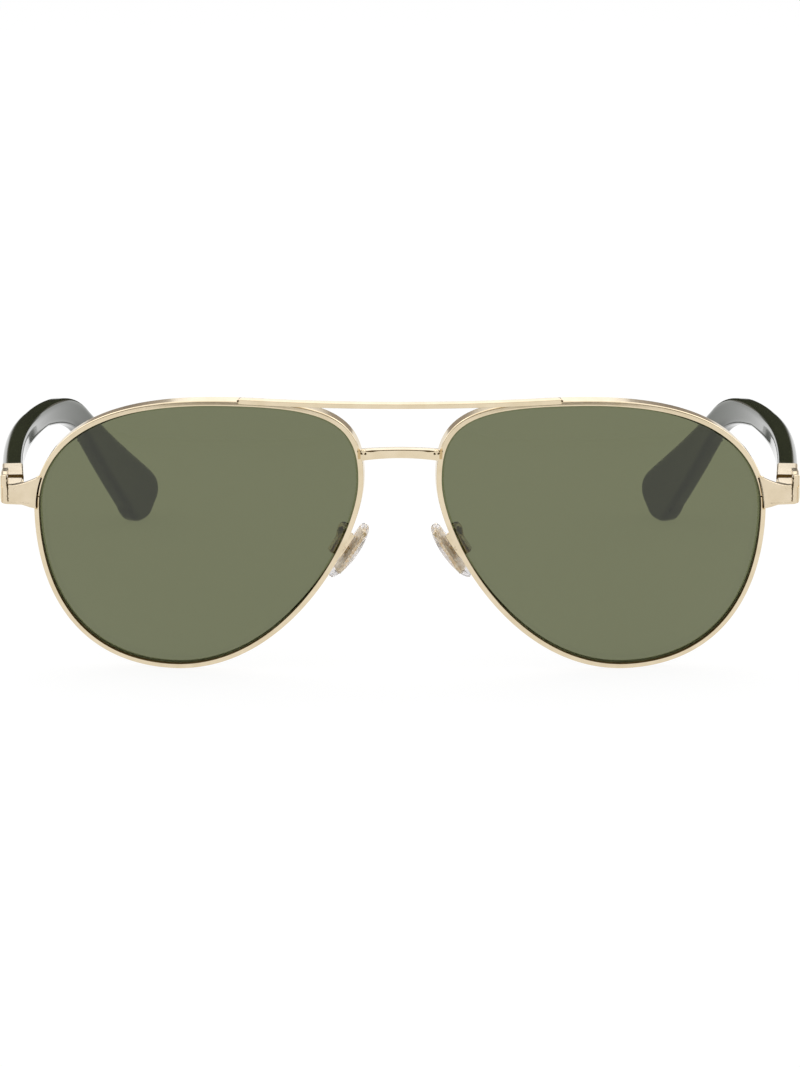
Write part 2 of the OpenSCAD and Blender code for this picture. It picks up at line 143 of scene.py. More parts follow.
def fillet(corners, steps=5):
    """A closed outline from (x, y, radius) corners; each round one gives steps + 1 points."""
    out = []
    n = len(corners)
    for i, (x, y, r) in enumerate(corners):
        p = Vector((x, y))
        a = Vector(corners[i - 1][:2]) - p
        b = Vector(corners[(i + 1) % n][:2]) - p
        if r <= 0:
            out.append(p)
            continue
        half = a.angle(b) / 2
        r = min(r, 0.49 * min(a.length, b.length) * math.tan(half))
        reach = r / math.tan(half)
        start, end = p + a.normalized() * reach, p + b.normalized() * reach
        centre = p + (a.normalized() + b.normalized()).normalized() * (r / math.sin(half))
        u, v = start - centre, end - centre
        turn = u.angle_signed(v)
        for k in range(steps + 1):
            out.append(centre + Matrix.Rotation(-turn * k / steps, 2) @ u)
    return out


class Mesh:
    """Points, faces and face materials of one piece, in millimetres."""

    def __init__(self):
        self.points, self.faces, self.mats = [], [], []

    def add(self, points):
        at = len(self.points)
        self.points += [Vector(p) for p in points]
        return list(range(at, at + len(points)))

    def face(self, ids, mat=0):
        self.faces.append(list(ids))
        self.mats.append(mat)

    def skin(self, rings, caps=True, ink=None):
        """Quads between equal rings of points; ink(ring, place) gives a quad's material."""
        ids = [self.add(r) for r in rings]
        n = len(ids[0])
        for i, (a, b) in enumerate(zip(ids, ids[1:])):
            for k in range(n):
                self.face([a[k], a[(k + 1) % n], b[(k + 1) % n], b[k]], ink(i, k) if ink else 0)
        if caps:
            self.face(ids[0][::-1])
            self.face(ids[-1])
        return ids

    def fan(self, row, point):
        """Triangles from a closed row of points to one point."""
        tip = self.add([point])[0]
        for k in range(len(row)):
            self.face([row[k], row[(k + 1) % len(row)], tip])

    def moved(self, change):
        self.points = [change(p) for p in self.points]
        return self

    def join(self, other, mat=None):
        at = len(self.points)
        self.points += other.points
        self.faces += [[i + at for i in f] for f in other.faces]
        self.mats += [mat if mat is not None else m for m in other.mats]
        return self


def ball(centre, r, n=16):
    centre = Vector(centre)
    rings = []
    for i in range(1, n):
        a = math.pi * i / n
        rings.append([centre + r * Vector((math.sin(a) * math.cos(w), math.sin(a) * math.sin(w),
                                           math.cos(a))) for w in turns(2 * n)])
    shape = Mesh()
    ids = shape.skin(rings, caps=False)
    shape.fan(ids[0], centre + Vector((0, 0, r)))
    shape.fan(ids[-1], centre + Vector((0, 0, -r)))
    return shape


def make(name, shape, materials, body, slot, nodes=(), mirror=False, sharp=38):
    """Turns a Mesh into an object that rides on a body and stands for CAD nodes."""
    sign = -1 if mirror else 1
    data = bpy.data.meshes.new(name)
    data.from_pydata([(sign * p[0] * MM, p[1] * MM, p[2] * MM) for p in shape.points], [],
                     shape.faces)
    for m in materials:
        data.materials.append(m)
    data.polygons.foreach_set("material_index", shape.mats)
    bm = bmesh.new()
    bm.from_mesh(data)
    bmesh.ops.remove_doubles(bm, verts=bm.verts, dist=2e-6)
    bmesh.ops.recalc_face_normals(bm, faces=bm.faces)
    bm.to_mesh(data)
    bm.free()
    data.shade_smooth()
    data.set_sharp_from_angle(angle=math.radians(sharp))
    obj = bpy.data.objects.new(name, data)
    bpy.context.scene.collection.objects.link(obj)
    even = obj.modifiers.new("even_shading", "WEIGHTED_NORMAL")     # flats stay flat to the eye
    even.keep_sharp = True
    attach(obj, body)
    if nodes:
        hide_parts(*nodes)


def both(name, build, materials, body, slot, nodes, **kw):
    """The same piece for the left side and, mirrored, for the right side."""
    for side in ("left", "right"):
        make(f"{side}_{name}", build(), materials, body.format(side=side), slot,
             [n.format(side=side) for n in nodes], mirror=side == "right", **kw)


# ---- from the front's, a lens's and a pad's own axes to the shared frame -----------------
TILT = Matrix.Rotation(PANTO, 3, "X")
PAD_TURN = Matrix.Rotation(-PAD_SPLAY, 3, "Z") @ Matrix.Rotation(-PAD_LEAN, 3, "Y")


def world_at(p):
    return Vector((p[0], p[1] - DEEP, p[2]))


def front_at(p):
    q = TILT @ Vector(p)
    return Vector((q.x, q.y - DEEP, q.z + FRONT_Z))


def eye_at(u, d, v):
    """A point at (u, v) of a lens's own axes, d behind the sphere through its rim's front."""
    y = BASE_R - math.sqrt((BASE_R - d) ** 2 - u * u - v * v)
    c, s = math.cos(WRAP), math.sin(WRAP)
    return front_at((EYE_X + u * c - y * s, u * s + y * c, v))


def pad_point(p):
    return world_at(PAD_TURN @ Vector(p) + PAD_AT)


# ---- lens outline: four nodes joined by curves -------------------------------------------
TOP = Vector((-0.156 * OPEN_A, OPEN_B))
OUT = Vector((OPEN_A, 0.17 * OPEN_B))
BOT = Vector((BOT_X, -OPEN_B))
NOSE = Vector((-OPEN_A, 0.435 * OPEN_B))
EDGES = [
    [TOP, TOP + Vector((0.835 * (OUT.x - TOP.x), 0)),
     OUT + Vector((0, 0.345 * (TOP.y - OUT.y))), OUT],
    [OUT, OUT - Vector((0, 0.375 * (OUT.y - BOT.y))),
     BOT + Vector((0.85 * (OUT.x - BOT.x), 0)), BOT],
    [BOT, BOT - Vector((0.59 * (BOT.x - NOSE.x), 0)),
     NOSE - Vector((0, 0.3 * (NOSE.y - BOT.y))), NOSE],
    [NOSE, NOSE + Vector((0, 0.7 * (TOP.y - NOSE.y))),
     TOP - Vector((0.81 * (TOP.x - NOSE.x), 0)), TOP],
]


def outline_at(s, g):
    """Point s (0 to 4, once round from the top) of the opening, pushed out by g."""
    i = int(s) % 4
    t = s - int(s)
    return bezier(EDGES[i], t) + g * left_of(bezier_dir(EDGES[i], t))


# ---- materials ---------------------------------------------------------------------------
def new_material(name, **constants):
    """A material, its nodes and its shader, with some of the shader's sockets set."""
    m = bpy.data.materials.new(name)
    m.use_nodes = True
    t = m.node_tree
    shader = t.nodes["Principled BSDF"]
    for socket, value in constants.items():
        shader.inputs[socket.replace("_", " ")].default_value = value
    return m, t, shader


def tex(tree, kind, scale, detail=3.0, rough=0.5, stretch=(1, 1, 1)):
    """A noise or voronoi texture in the part's own coordinates; scale is per millimetre."""
    co = tree.nodes.new("ShaderNodeTexCoord")
    mp = tree.nodes.new("ShaderNodeMapping")
    mp.inputs["Scale"].default_value = [s / MM for s in stretch]
    tree.links.new(co.outputs["Object"], mp.inputs["Vector"])
    t = tree.nodes.new(f"ShaderNodeTex{kind}")
    t.inputs["Scale"].default_value = scale
    if kind == "Noise":
        t.inputs["Detail"].default_value = detail
        t.inputs["Roughness"].default_value = rough
    tree.links.new(mp.outputs[0], t.inputs["Vector"])
    return t.outputs["Fac" if kind == "Noise" else "Distance"]


def ramp(tree, value, stops):
    """Colours along a value; stops are two (place, colour)."""
    r = tree.nodes.new("ShaderNodeValToRGB")
    tree.links.new(value, r.inputs[0])
    for e, (at, colour) in zip(r.color_ramp.elements, stops):
        e.position = at
        e.color = (*colour, 1)
    return r.outputs[0]


def mottle(tree, shader, low, high, scale, detail, stretch=(1, 1, 1)):
    """Base colour that wanders between low and high."""
    tone = tex(tree, "Noise", scale, detail, stretch=stretch)
    tree.links.new(ramp(tree, tone, [(0.3, low), (0.7, high)]), shader.inputs["Base Color"])


def multiply(tree, a, b):
    """The product of two colours."""
    mix = tree.nodes.new("ShaderNodeMixRGB")
    mix.blend_type = "MULTIPLY"
    mix.inputs[0].default_value = 1.0
    tree.links.new(a, mix.inputs[1])
    tree.links.new(b, mix.inputs[2])
    return mix.outputs[0]


def spread(tree, value, low, high):
    """Maps a texture's 0.3 to 0.7 onto low to high."""
    m = tree.nodes.new("ShaderNodeMapRange")
    m.inputs["From Min"].default_value, m.inputs["From Max"].default_value = 0.3, 0.7
    m.inputs["To Min"].default_value, m.inputs["To Max"].default_value = low, high
    tree.links.new(value, m.inputs["Value"])
    return m.outputs[0]


def bump(tree, shader, layers):
    """Bump from several textures; each layer is (value, height in millimetres)."""
    last = None
    for value, height in layers:
        b = tree.nodes.new("ShaderNodeBump")
        b.inputs["Distance"].default_value = height * MM
        tree.links.new(value, b.inputs["Height"])
        if last:
            tree.links.new(last, b.inputs["Normal"])
        last = b.outputs[0]
    tree.links.new(last, shader.inputs["Normal"])


HAMMER_MARKS = 1.9                    # hammer marks per millimetre


def gold_material(name, low, high, rough, grain, hammer=0.0):
    """Plated metal; with hammer marks it is less metallic. The pad's hammered insert, seen through
    the pad, gets paler colours than the plate: partly its hammered finish, partly painted
    brightening for light that the pad's silicone holds back.
    """
    m, t, s = new_material(name, Metallic=0.12 if hammer else 1.0)
    colour = ramp(t, tex(t, "Noise", 0.35, 4), [(0.32, low), (0.68, high)])
    if hammer:                        # brown lines between the marks, darker away from each mark's middle
        lines = ramp(t, tex(t, "Voronoi", HAMMER_MARKS),
                     [(0.48, (1, 1, 1)), (0.62, (0.86, 0.75, 0.58))])
        colour = multiply(t, colour, lines)
    t.links.new(colour, s.inputs["Base Color"])
    wear = tex(t, "Noise", 2.6, 5, 0.6)
    t.links.new(spread(t, wear, rough * 0.8, rough * 1.25), s.inputs["Roughness"])
    layers = [(tex(t, "Noise", 9.0, 4), grain), (tex(t, "Noise", 0.9, 2), grain * 2.5)]
    if hammer:
        layers.append((tex(t, "Voronoi", HAMMER_MARKS), hammer))
    bump(t, s, layers)
    return m


def seam_material():
    """The brown shadow in seams, slits and solder pits."""
    m, t, s = new_material("seam_shadow", Roughness=0.6, Specular_IOR_Level=0.1)
    mottle(t, s, (0.075, 0.042, 0.01), (0.15, 0.09, 0.025), 2.0, 4)
    return m


def lens_material():
    m, t, s = new_material("tinted_lens", Transmission_Weight=1.0, IOR=1.5, Roughness=0.0)
    mottle(t, s, (0.140, 0.153, 0.077), (0.1445, 0.157, 0.080), 0.02, 1)
    return m


def edge_material():
    """The dull ground edge of the lens."""
    m, t, s = new_material("lens_ground_edge", Roughness=0.8, Specular_IOR_Level=0.0)
    mottle(t, s, (0.5, 0.5, 0.46), (0.62, 0.62, 0.58), 3.0, 4)
    return m


def acetate_material():
    m, t, s = new_material("green_acetate", IOR=1.5, Specular_Tint=(0.9, 1.0, 0.86, 1),
                           Coat_Weight=0.3, Coat_Roughness=0.04)
    mottle(t, s, (0.018, 0.022, 0.009), (0.03, 0.036, 0.015), 0.06, 3, stretch=(1, 0.35, 1))
    t.links.new(spread(t, tex(t, "Noise", 1.4, 4), 0.04, 0.08), s.inputs["Roughness"])
    bump(t, s, [(tex(t, "Noise", 0.25, 2), 0.008), (tex(t, "Noise", 7, 3), 0.0004)])
    return m


def silicone_material():
    m, t, s = new_material("clear_silicone", Transmission_Weight=0.8, IOR=1.16)
    mottle(t, s, (0.93, 0.91, 0.93), (0.98, 0.97, 0.98), 0.5, 3)
    t.links.new(spread(t, tex(t, "Noise", 2.2, 3), 0.18, 0.26), s.inputs["Roughness"])
    bump(t, s, [(tex(t, "Noise", 0.7, 2), 0.004)])
    return m


def steel_material():
    m, t, s = new_material("core_steel", Metallic=1.0, Roughness=0.35)
    mottle(t, s, (0.45, 0.45, 0.43), (0.6, 0.6, 0.58), 1.2, 4, stretch=(1, 0.05, 1))
    return m


GOLD = gold_material("gold_plate", (0.715, 0.60, 0.415), (0.785, 0.67, 0.485), 0.1, 0.0006)
GOLD_SOFT = gold_material("gold_satin", (0.71, 0.595, 0.42), (0.78, 0.665, 0.49), 0.2, 0.001)
# paler than the plate's gold: hammered finish plus painted brightening for light that the pad's
# silicone holds back
GOLD_HAMMERED = gold_material("gold_hammered", (0.93, 0.80, 0.56), (0.98, 0.88, 0.68), 0.38,
                              0.002, 0.012)
SEAM, LENS, EDGE = seam_material(), lens_material(), edge_material()
ACETATE, SILICONE, STEEL = acetate_material(), silicone_material(), steel_material()


# ---- rims --------------------------------------------------------------------------------
SLIT_Z, SLIT_DEPTH = (29.2, 34.6), 0.35     # slit beside the end-piece: heights and depth
SLIT_IN, SLIT_OUT = 0.25, 0.61              # its floor, painted in shade, measured from the opening
OUTER_S = 1.3                               # the end-piece lies before this place (see outline_at)
RIM_STATIONS = 340


def rim_height(s):
    """Height of the middle of the wire at place s."""
    mid = outline_at(s, RIM_W / 2)
    return eye_at(mid.x, RIM_D / 2, mid.y).z


def rim_place(z):
    """Place near the outer node where the wire passes height z."""
    a, b = 0.4, 1.2
    for _ in range(40):
        mid = (a + b) / 2
        a, b = (mid, b) if rim_height(mid) > z else (a, mid)
    return (a + b) / 2


def rim():
    """The grooved wire, an open ring from one side of the saw cut round to the other."""
    groove_end = TONGUE_D + TONGUE_W
    profile = fillet([(0, 0, 0.17), (SLIT_IN, 0, 0), (SLIT_IN + 0.03, 0, 0), (SLIT_OUT, 0, 0),
                      (RIM_W, 0, 0.26), (RIM_W, RIM_D, 0.22), (0, RIM_D, 0.10),
                      (0, groove_end, 0), (TONGUE_H, groove_end, 0), (TONGUE_H, TONGUE_D, 0),
                      (0, TONGUE_D, 0)], 4)
    start = rim_place(SPLIT_Z - SPLIT_GAP / 2)
    end = rim_place(SPLIT_Z + SPLIT_GAP / 2) + 4
    rings, slit = [], []
    for i in range(RIM_STATIONS + 1):
        s = start + (end - start) * i / RIM_STATIONS
        slit.append(s % 4 < OUTER_S and SLIT_Z[0] < rim_height(s) < SLIT_Z[1])
        ring = []
        for g, d in profile:
            if slit[-1] and g > SLIT_IN + 0.01:
                d = max(d, SLIT_DEPTH)
            o = outline_at(s, g)
            ring.append(eye_at(o.x, d, o.y))
        rings.append(ring)

    def ink(i, k):
        """Painted shade on the wall round the lens and on the slit's floor."""
        (g0, d0), (g1, d1) = profile[k], profile[(k + 1) % len(profile)]
        wall = (g0 + g1) / 2 < 0.07 and 0.03 < (d0 + d1) / 2 < RIM_D - 0.2
        floor_of_slit = (slit[i] and slit[i + 1] and d0 == d1 == 0
                         and SLIT_IN - 0.05 < g0 < g1 < SLIT_OUT + 0.04)
        return int(wall or floor_of_slit)

    shape = Mesh()
    shape.skin(rings, ink=ink)
    return shape


both("rim_wire", rim, [GOLD, SEAM], "front", "gold_metal", ["{side}_rim"])


# ---- lenses ------------------------------------------------------------------------------
def lens():
    n = 240
    around = [4 * i / n for i in range(n)]
    front_d, back_d, c = LENS_INSET, LENS_INSET + LENS_T, SEAT_PLAY

    def ring(scale, g, d):
        points = [outline_at(s, g) * scale for s in around]
        return [eye_at(p.x, d, p.y) for p in points]

    steps = [0.12 * k for k in range(1, 9)] + [0.985]
    rings = [ring(k, -c, front_d) for k in steps]
    rings += [ring(1, g, d) for g, d in (      # front edge, tongue and bevelled back edge
        (-c - 0.05, front_d), (-c, front_d + 0.05), (-c, TONGUE_D + c),
        (TONGUE_H - c, TONGUE_D + c), (TONGUE_H - c, TONGUE_D + TONGUE_W - c),
        (-c, TONGUE_D + TONGUE_W - c), (-c - 0.27, back_d - 0.04), (-c - 0.32, back_d))]
    rings += [ring(k, -c, back_d) for k in [0.97] + steps[-2::-1]]
    first_edge, last_edge = len(steps) + 1, len(steps) + 6
    shape = Mesh()
    ids = shape.skin(rings, caps=False, ink=lambda i, k: int(first_edge <= i < last_edge))
    shape.fan(ids[0], eye_at(0, front_d, 0))
    shape.fan(ids[-1], eye_at(0, back_d, 0))
    return shape


both("lens_glass", lens, [LENS, EDGE], "front", "tinted_lens", ["{side}_lens"])


# ---- top bar and lower bridge ------------------------------------------------------------
def round_end(r, steps=6):
    """(distance from the tip, size) of stations that round off the end of a sweep."""
    return [(r * (1 - math.cos(math.pi / 2 * k / steps)),
             max(math.sin(math.pi / 2 * k / steps), 0.08)) for k in range(steps + 1)]


def top_bar():
    profile = fillet([(0, 0, 0.12), (0, BAR_H, 0.24), (BAR_D, BAR_H, 0.3), (BAR_D, 0, 0.1)], 7)
    half = BAR_R * math.asin(BAR_HALF / BAR_R)
    end_r, n = 0.35, 90
    ends = round_end(end_r)
    stations = ([(-half + x, k) for x, k in ends]
                + [(-half + end_r + (2 * half - 2 * end_r) * i / n, 1) for i in range(1, n)]
                + [(half - x, k) for x, k in ends[::-1]])
    rings = []
    for x, k in stations:
        ring = []
        for q, h in profile:
            q = BAR_D / 2 + (q - BAR_D / 2) * k
            h = BAR_H / 2 + (h - BAR_H / 2) * k
            r, w = BAR_R - q, x / BAR_R
            ring.append(front_at((r * math.sin(w), BAR_Y + BAR_R - r * math.cos(w), BAR_V + h)))
        rings.append(ring)
    shape = Mesh()
    shape.skin(rings)
    for sign in (-1, 1):       # solder pit where the bar ends on the rim, a small ball painted in shade
        shape.join(ball((sign * (BAR_HALF - 0.1), BAR_Y + 2.62, BAR_V + 0.66), 0.17)
                   .moved(front_at), 1)
    return shape


make("top_bar_strip", top_bar(), [GOLD, SEAM], "front", "gold_metal", ["top_bar"])


def bridge():
    """The lower bridge with a narrow facet along its upper front edge painted in shade, and a
    bright bead with two pits, small balls painted in shade, where each end is soldered to the rim."""
    n, steps = 48, 6
    top_drop, low_drop = 0.3, 0.52       # how much lower its ends are than its middle
    rings = []
    for i in range(n + 1):
        x = -BRIDGE_HALF + 2 * BRIDGE_HALF * i / n
        drop = x * x / (BRIDGE_HALF * BRIDGE_HALF)
        hi, lo = BRIDGE_TOP - top_drop * drop, BRIDGE_TOP - BRIDGE_H - low_drop * drop
        edge = 0.13 + 0.13 * math.exp(-((abs(x) - 4.9) / 0.75) ** 2)     # width of the facet painted in shade, widest near each end
        profile = fillet([(0, lo, 0.12), (0, hi - edge, 0.03), (edge, hi, 0.03),
                          (BRIDGE_D, hi, 0.4), (BRIDGE_D, lo, 0.2)], steps)
        rings.append([front_at((x, BRIDGE_Y + q, z)) for q, z in profile])
    painted_shade_edge = 2 * (steps + 1) - 1       # the quad between the second corner and the third, painted in shade
    shape = Mesh()
    shape.skin(rings, ink=lambda i, k: int(k == painted_shade_edge))
    bead_x, bead_z = 6.4, BRIDGE_TOP - 0.45
    for s in (-1, 1):
        shape.join(ball((s * bead_x, BRIDGE_Y + 0.35, bead_z), 0.5).moved(front_at))
        # two pits: small balls painted in shade
        for dx, dz in ((0.3, -0.22), (-0.34, -0.27)):
            shape.join(ball((s * (bead_x + dx), BRIDGE_Y + 0.13, bead_z + dz), 0.25)
                       .moved(front_at), 1)
    return shape


make("bridge_bar", bridge(), [GOLD, SEAM], "front", "gold_metal", ["bridge"])


# ---- temples -----------------------------------------------------------------------------
PLAN = chain([(68.55, 12), (75.3, 80.5), (67.6, 104), (49.4, 141.5)], 400)
TOP_Z = ARM_Z + TEMPLE_H / 2
ARM_START = FERRULE_Y[1] - 2          # inside the ferrule
KNEE = (109.5, 24.8)                  # centre line where the bend ends
EDGE_R = 1.2                          # rounding of the temple's long edges and tip


def plan_at(y, w):
    """Point of the temple's plan curve at y, moved w to its outer side."""
    last = len(PLAN) - 1
    i = min(range(last), key=lambda k: abs(PLAN[k].y - y))
    a, b = PLAN[max(i - 1, 0)], PLAN[min(i + 1, last)]
    d = (b - a).normalized()
    x = a.x + (y - a.y) / (b.y - a.y) * (b.x - a.x)
    return Vector((x + w * d.y, y - w * d.x))


def side_outline():
    """The temple seen from the side: top, ear bend, paddle tip and underside."""
    t, b = TIP_Y, BEND_Y
    return (chain([(ARM_START, TOP_Z), (b - 58, TOP_Z + 0.05), (b - 38, TOP_Z + 0.05),
                   (b - 20, BEND_Z + 1.0)], 12)[:-1]
            + chain([(b - 20, BEND_Z + 1.0), (b - 4, BEND_Z + 0.55), (b + 6.2, BEND_Z + 0.3),
                     (b + 12.8, BEND_Z - 4.6)], 30)
            + chain([(t + 0.5, 11.5), (t + 4.5, 8.8), (t + 5.8, 7.8), (t + 5.3, 5.2)], 20)
            + chain([(t + 5.3, 5.2), (t + 4.6, 1.8), (t + 1.6, 0), (t - 1.2, 0)], 20)
            + chain([(t - 1.2, 0), (t - 3.4, 0), (t - 5.0, 1.5), (t - 6.3, 3.6)], 16)
            + chain([(b + 13.7, 20.2), (b + 8.1, 25.3), (b + 2.1, 26.9), (b - 12.5, 28.4)], 24)
            + [Vector((ARM_START, ARM_Z - TEMPLE_H / 2))])


def centre_line():
    """The temple's middle seen from the side, from the ferrule's end into the tip."""
    return ([Vector((FERRULE_Y[1], ARM_Z))]
            + chain([(60, 31.25), (86, 30.4), (102, 31), KNEE], 40)
            + chain([KNEE, (114, 21), (124, 13.2), (132, 7)], 16)[1:]
            + [Vector((136.9, 2.4))])


def hits(outline, c, d):
    """Distances from c along d to the outline, nearest on each side."""
    found = []
    for p, q in zip(outline, outline[1:] + outline[:1]):
        e = q - p
        det = d.x * -e.y + d.y * e.x
        if abs(det) < 1e-9:
            continue
        r = p - c
        s = (r.x * -e.y + r.y * e.x) / det
        t = (d.x * r.y - d.y * r.x) / det
        if -1e-6 <= t <= 1 + 1e-6:
            found.append(s)
    return (max([s for s in found if s <= 0], default=0),
            min([s for s in found if s > 0], default=0))


def temple_section(lo, hi, half_t):
    """Rounded section from lo to hi, with extra points across its two wide sides."""
    steps, splits = 5, 6
    r = min(EDGE_R, (hi - lo) * 0.48, half_t * 0.9)
    corners = fillet([(lo, -half_t, r), (hi, -half_t, r), (hi, half_t, r), (lo, half_t, r)],
                     steps)
    ring = []
    for k, p in enumerate(corners):
        corner, place = divmod(k, steps + 1)
        ring.append(p)
        if place == steps and corner % 2 == 0:
            q = corners[(k + 1) % len(corners)]
            ring += [p.lerp(q, f / splits) for f in range(1, splits)]
    return ring


def temple():
    outline, core = side_outline(), centre_line()
    lengths = [0.0]
    for p, q in zip(core, core[1:]):
        lengths.append(lengths[-1] + (q - p).length)
    total = lengths[-1]

    def along(dist):
        """Point and direction of the centre line at a distance from its start."""
        k = max(i for i, l in enumerate(lengths[:-1]) if l <= dist)
        f = (dist - lengths[k]) / (lengths[k + 1] - lengths[k])
        lo, hi = core[max(k - 1, 0)], core[min(k + 2, len(core) - 1)]
        return core[k].lerp(core[k + 1], f), (hi - lo).normalized()

    # even stations, then closer and closer ones toward the tip
    c_end, d_end = along(total - 1e-6)
    tip = hits(outline, c_end, d_end)[1]
    even, close, reach = 110, 22, 4
    stations = [total * i / even for i in range(even + 1)]
    stations = [s for s in stations if s < total - reach] + [
        total + tip - (reach + tip) * math.cos(math.pi / 2 * k / close) for k in range(close)]
    rings = []
    for dist in stations:
        if dist <= total - 1e-6:
            c, d = along(dist)
        else:
            c, d = c_end + d_end * (dist - total), d_end
        n = Vector((-d.y, d.x))
        left = total + tip - dist
        half_t = TEMPLE_T / 2
        if left < EDGE_R:
            half_t -= EDGE_R - math.sqrt(max(EDGE_R ** 2 - (EDGE_R - left) ** 2, 0))
        ring = []
        for s, w in temple_section(*hits(outline, c, n), half_t):
            yz = c + n * s
            xy = plan_at(yz.x, w)
            ring.append(world_at((xy.x, xy.y, yz.y)))
        rings.append(ring)
    shape = Mesh()
    shape.skin(rings)
    return shape


both("temple_acetate", temple, [ACETATE], "{side}_temple_arm", "green_acetate",
     ["{side}_temple"])


def ferrule():
    """Gold sleeve with softened ends, a step down to the hinge whose face is painted in shade, and
    a turned line round it.
    """
    (y0, y1), z0, half_t = FERRULE_Y, FERRULE_LOW, (TEMPLE_T + 0.1) / 2
    line, line_depth, corner_cut, steps = 17.9, 0.1, 0.75, 5
    step, low_top, high_top, rise = 16.0, 32.8, 33.4, 0.7     # top before and after the step
    stations = [(y0, -0.14), (y0 + 0.04, -0.06), (y0 + 0.14, 0), (step, 0), (step + 0.05, 0),
                (line, 0), (line + 0.04, -line_depth), (line + 0.16, -line_depth),
                (line + 0.2, 0),
                (y1 - 0.12, 0), (y1 - 0.03, -0.05), (y1, -0.12)]
    rings = []
    for y, grow in stations:
        z1 = low_top if y <= step else high_top + rise * (y - step) / (y1 - step)
        t, r = half_t + grow, 0.42 + grow * 0.5
        cut = max(0.0, corner_cut - (y - y0))      # the outer front corner, toward the hinge
        profile = fillet([(z0 - grow, -t, r), (z1 + grow, -t, r),
                          (z1 + grow, t - cut, r), (z0 - grow, t - cut, r)], steps)
        rings.append([world_at((*plan_at(y, w), z)) for z, w in profile])
    step_ring, sides_and_top = stations.index((step, 0)), range(steps, 3 * (steps + 1))
    shape = Mesh()
    # the step's face, on its sides and top, is painted in shade
    shape.skin(rings, ink=lambda i, k: int(i == step_ring and k in sides_and_top))
    return shape


both("ferrule_sleeve", ferrule, [GOLD_SOFT, SEAM], "{side}_temple_arm", "gold_metal",
     ["{side}_ferrule"])


# ---- end-pieces --------------------------------------------------------------------------
BLOCK_X, BLOCK_OUT, BLOCK_Z, CHEEK_Z = 67.1, 70.45, (29.7, 33.1), 35.3
BLOCK_END = PIN_Y - 0.2
# the plate: (x, y) of its front and back, (x, z) of its lower and upper edge
END_PLAN = ([(63.2, 6.5), (69.1, 7.75)]
            + [(69.1 + 1.35 * math.cos(a), 9.1 + 1.35 * math.sin(a))
               for a in [math.radians(-80 + 76 * k / 12) for k in range(13)]])
END_BACK = [(62.8, 7.65), (66.4, 8.3), (67.1, 9.3), (BLOCK_OUT + 0.2, 9.3)]
END_LOWER = ([(62.8, 29), (64.9, 29.3), (66.6, BLOCK_Z[0]), (69.8, BLOCK_Z[0])]
             + [(69.8 + 0.9 * math.sin(a), BLOCK_Z[0] + 0.9 - 0.9 * math.cos(a))
                for a in [math.pi / 2 * k / 10 for k in range(1, 11)]])
END_UPPER = ([(62.8, 35.2), (63.8, 34.9)]
             + [tuple(p) for p in chain([(63.8, 34.9), (65.2, 34), (66.8, 33.3),
                                         (68.6, BLOCK_Z[1])], 12)[1:]]
             + [(69.27, BLOCK_Z[1]), (69.36, 34.5), (69.6, 34.9), (70.3, 34.9), (70.9, 34.4)])
SEAM_X, SEAM_LOW, SEAM_WIDER = 69.32, 30.2, 31.6      # upright seam: place, foot, widening
GROOVE_Z, GROOVE_X = 30.15, 65.4                      # fine line along the bottom
DENT_X, DENT_Z, DENT_R = 68.1, 32.6, 0.26
ROUND_R = 0.14                                        # the plate's upper and lower edge


def wire_edge():
    """(z, x) along the line on the rim where the end-piece's plate begins."""
    first, length, n, g = 0.25, 0.95, 120, 0.59
    out = []
    for k in range(n + 1):
        o = outline_at(first + length * k / n, g)
        p = eye_at(o.x, 0.0, o.y)
        out.append((p.z, p.x))
    return sorted(out)


def wander(z, size):
    """A small uneven shift along a seam."""
    return size * (noise.noise(Vector((0, 0, z * 2.2))) + 0.6 * noise.noise(Vector((3, 0, z * 6))))


def relief(x, z, edge):
    """How far the end-piece's front lies behind its plain shape, and the material there: 1 is
    painted shade in the upright seam.
    """
    wave, grain = 1.6, 4          # per millimetre
    d = 0.03 * noise.noise(Vector((x * wave, 5, z * wave))) ** 2
    d += 0.01 * noise.noise(Vector((x * grain, 2, z * grain)))
    mat = 0
    if edge < ROUND_R:
        d += ROUND_R - math.sqrt(ROUND_R ** 2 - (ROUND_R - edge) ** 2)
    side = abs(x - SEAM_X - wander(z, 0.16))
    wide = 0.08 + 0.12 * min(1, max(0, (z - SEAM_WIDER) / 2))
    if z > SEAM_LOW and side < wide + 0.08:
        d += 0.16 * (1 - side / (wide + 0.08))
        # material 1 paints shade down the middle of the seam
        mat = 1 if side < wide + 0.05 * noise.noise(Vector((1, 4, z * grain))) else 0
    low = abs(z - GROOVE_Z - wander(x, 0.03))
    if GROOVE_X < x < SEAM_X and low < 0.1:
        d += 0.06 * (1 - low / 0.1)
    dent = math.hypot(x - DENT_X, z - DENT_Z)
    if dent < DENT_R:
        d += 0.12 * (1 - (dent / DENT_R) ** 2)
    return d, mat


